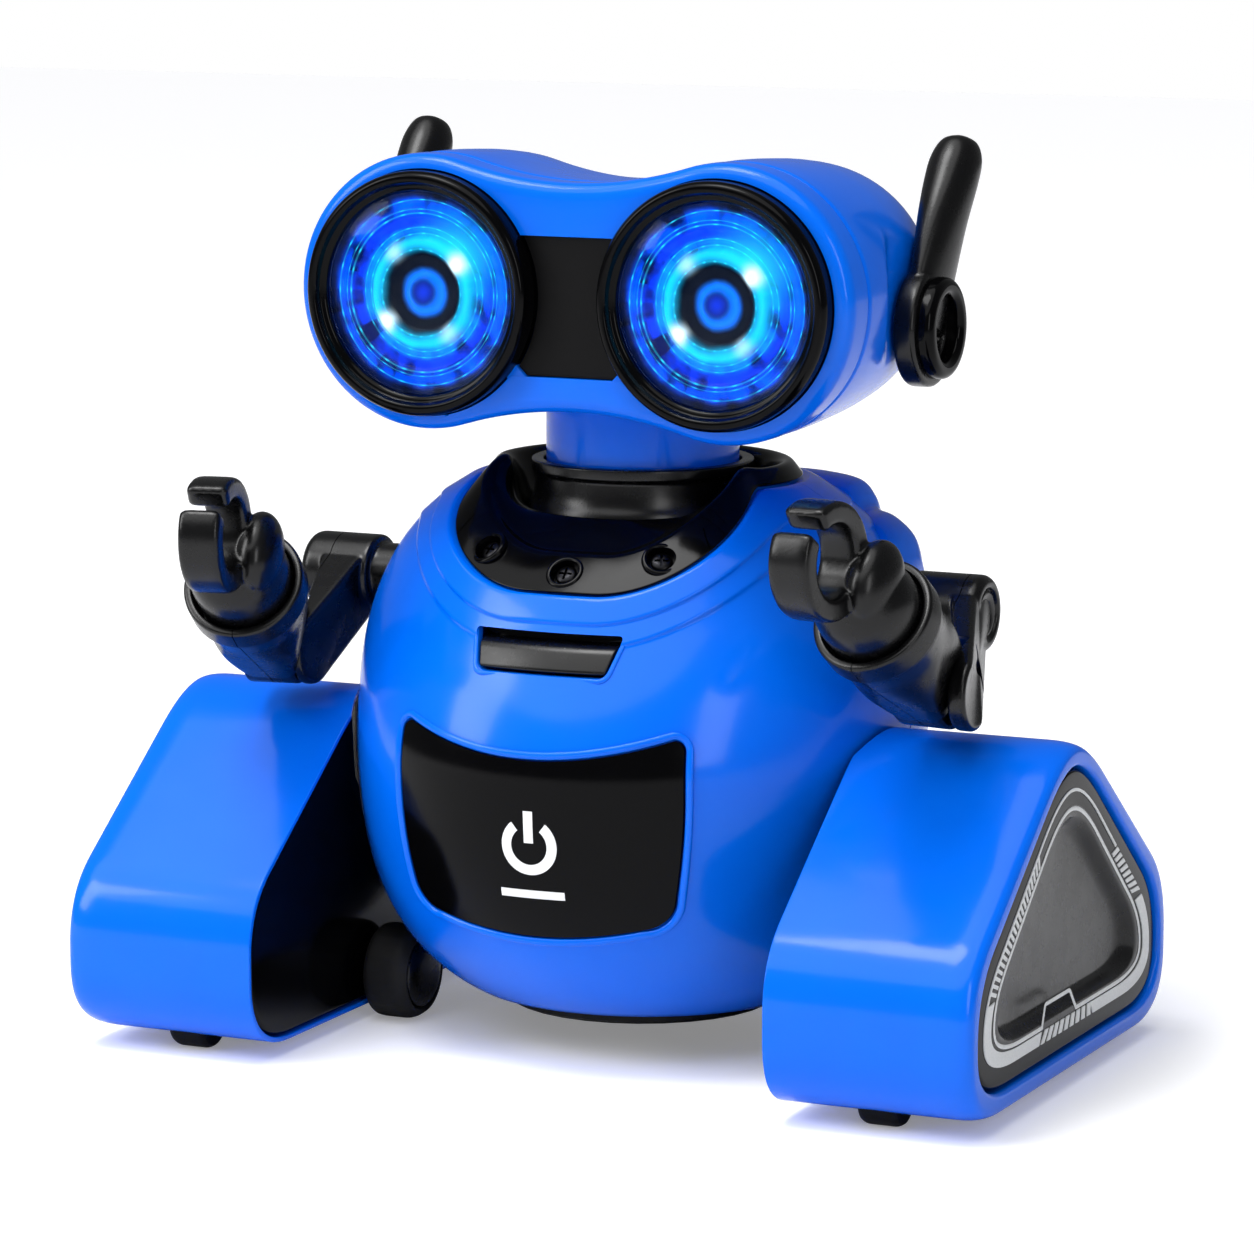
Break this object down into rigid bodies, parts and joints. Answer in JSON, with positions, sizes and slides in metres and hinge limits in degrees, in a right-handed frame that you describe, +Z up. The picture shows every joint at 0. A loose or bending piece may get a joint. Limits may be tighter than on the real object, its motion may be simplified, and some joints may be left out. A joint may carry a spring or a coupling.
{
  "type": "toy robot",
  "caption": "Rounded toy robot with an egg-shaped body between two wheeled side pods, a turning two-eyed head, tilting antennas and jointed arms with claw hands.",
  "frame": {"origin": "middle of the bounding box at ground level, between the wheels", "axes": "+Z up, the robot faces -Y, +X is on the right when looking at its face; left and right in names are as seen by someone facing it"},
  "size_m": [0.1896, 0.1257, 0.1769],
  "materials": {
    "blue_plastic": "glossy moulded blue ABS",
    "gloss_black": "polished black",
    "satin_black": "satin black",
    "dark_frame": "matt dark grey frame plastic",
    "eye_lens": "clear blue-tinted lens",
    "eye_light": "ring reflector, lit blue",
    "circuit_board": "green laminate",
    "battery_wrap": "shrink film",
    "screw_steel": "dark machine screw",
    "tyre_rubber": "soft tyre"
  },
  "bodies": {
    "body": {"front_body_shell": "blue_plastic", "rear_body_shell": "blue_plastic", "chest_panel": "gloss_black", "chest_vent": "satin_black", "shoulder_cowl": "gloss_black", "cowl_screw_left": "screw_steel", "cowl_screw_mid": "screw_steel", "cowl_screw_right": "screw_steel", "neck_collar": "gloss_black", "chassis": "dark_frame", "battery_door": "dark_frame", "battery_pack": "battery_wrap", "main_board": "circuit_board", "neck_motor": "dark_frame", "speaker": "dark_frame", "pod_shell_left": "blue_plastic", "pod_panel_left": "gloss_black", "pod_inner_cover_left": "dark_frame", "drive_gearbox_left": "dark_frame", "pod_shell_right": "blue_plastic", "pod_panel_right": "gloss_black", "pod_inner_cover_right": "dark_frame", "drive_gearbox_right": "dark_frame"},
    "head": {"neck_tube": "blue_plastic", "face_frame": "blue_plastic", "face_bridge": "gloss_black", "head_rear_shell": "blue_plastic", "eye_bezel_left": "gloss_black", "eye_lens_left": "eye_lens", "eye_reflector_left": "eye_light", "eye_board_left": "circuit_board", "eye_bezel_right": "gloss_black", "eye_lens_right": "eye_lens", "eye_reflector_right": "eye_light", "eye_board_right": "circuit_board"},
    "switch": {"power_switch": "satin_black"},
    "antenna_left": {"antenna_left": "satin_black", "antenna_cap_left": "satin_black"},
    "upper_arm_left": {"upper_arm_outer_left": "satin_black", "upper_arm_inner_left": "satin_black", "shoulder_cap_left": "satin_black"},
    "forearm_left": {"forearm_outer_left": "satin_black", "forearm_inner_left": "satin_black"},
    "hand_left": {"hand_left": "satin_black"},
    "wheel_left": {"drive_tyre_left": "tyre_rubber", "drive_hub_left": "satin_black"},
    "front_roller_left": {"front_roller_left": "satin_black"},
    "rear_roller_left": {"rear_roller_left": "satin_black"},
    "antenna_right": {"antenna_right": "satin_black", "antenna_cap_right": "satin_black"},
    "upper_arm_right": {"upper_arm_outer_right": "satin_black", "upper_arm_inner_right": "satin_black", "shoulder_cap_right": "satin_black"},
    "forearm_right": {"forearm_outer_right": "satin_black", "forearm_inner_right": "satin_black"},
    "hand_right": {"hand_right": "satin_black"},
    "wheel_right": {"drive_tyre_right": "tyre_rubber", "drive_hub_right": "satin_black"},
    "front_roller_right": {"front_roller_right": "satin_black"},
    "rear_roller_right": {"rear_roller_right": "satin_black"}
  },
  "joints": [
    {"name": "neck_yaw", "type": "hinge", "parent": "body", "child": "head", "pos_m": [0, 0.00982, 0.115], "axis": [0, 0, 1], "range_deg": [-45, 45]},
    {"name": "antenna_tilt_left", "type": "hinge", "parent": "head", "child": "antenna_left", "pos_m": [-0.055, 0.01442, 0.1425], "axis": [1, 0, 0], "range_deg": [-60, 20]},
    {"name": "shoulder_left", "type": "hinge", "parent": "body", "child": "upper_arm_left", "pos_m": [-0.06, 0.00982, 0.0884], "axis": [1, 0, 0], "range_deg": [-20, 10]},
    {"name": "elbow_left", "type": "hinge", "parent": "upper_arm_left", "child": "forearm_left", "pos_m": [-0.0635, -0.01318, 0.076], "axis": [0.9816, 0.1908, 0], "range_deg": [-12, 35]},
    {"name": "wrist_left", "type": "hinge", "parent": "forearm_left", "child": "hand_left", "pos_m": [-0.06478, -0.0354, 0.09225], "axis": [0.1524, -0.784, 0.6018], "range_deg": [-90, 90]},
    {"name": "wheel_spin_left", "type": "hinge", "parent": "body", "child": "wheel_left", "pos_m": [-0.048, -0.00178, 0.0095], "axis": [1, 0, 0], "continuous": true},
    {"name": "front_roller_spin_left", "type": "hinge", "parent": "body", "child": "front_roller_left", "pos_m": [-0.073, -0.04118, 0.005], "axis": [1, 0, 0], "continuous": true},
    {"name": "rear_roller_spin_left", "type": "hinge", "parent": "body", "child": "rear_roller_left", "pos_m": [-0.073, 0.04042, 0.005], "axis": [1, 0, 0], "continuous": true},
    {"name": "antenna_tilt_right", "type": "hinge", "parent": "head", "child": "antenna_right", "pos_m": [0.055, 0.01442, 0.1425], "axis": [1, 0, 0], "range_deg": [-60, 20]},
    {"name": "shoulder_right", "type": "hinge", "parent": "body", "child": "upper_arm_right", "pos_m": [0.06, 0.00982, 0.0884], "axis": [1, 0, 0], "range_deg": [-20, 10]},
    {"name": "elbow_right", "type": "hinge", "parent": "upper_arm_right", "child": "forearm_right", "pos_m": [0.0756, -0.01318, 0.0772], "axis": [0.9877, -0.1564, 0], "range_deg": [-12, 35]},
    {"name": "wrist_right", "type": "hinge", "parent": "forearm_right", "child": "hand_right", "pos_m": [0.06669, -0.03427, 0.09456], "axis": [-0.1233, -0.7783, 0.6157], "range_deg": [-90, 90]},
    {"name": "wheel_spin_right", "type": "hinge", "parent": "body", "child": "wheel_right", "pos_m": [0.048, -0.00178, 0.0095], "axis": [1, 0, 0], "continuous": true},
    {"name": "front_roller_spin_right", "type": "hinge", "parent": "body", "child": "front_roller_right", "pos_m": [0.073, -0.04118, 0.005], "axis": [1, 0, 0], "continuous": true},
    {"name": "rear_roller_spin_right", "type": "hinge", "parent": "body", "child": "rear_roller_right", "pos_m": [0.073, 0.04042, 0.005], "axis": [1, 0, 0], "continuous": true},
    {"name": "switch_slide", "type": "slide", "parent": "body", "child": "switch", "axis": [1, 0, 0], "range_m": [-0.0024, 0.0024]}
  ]
}
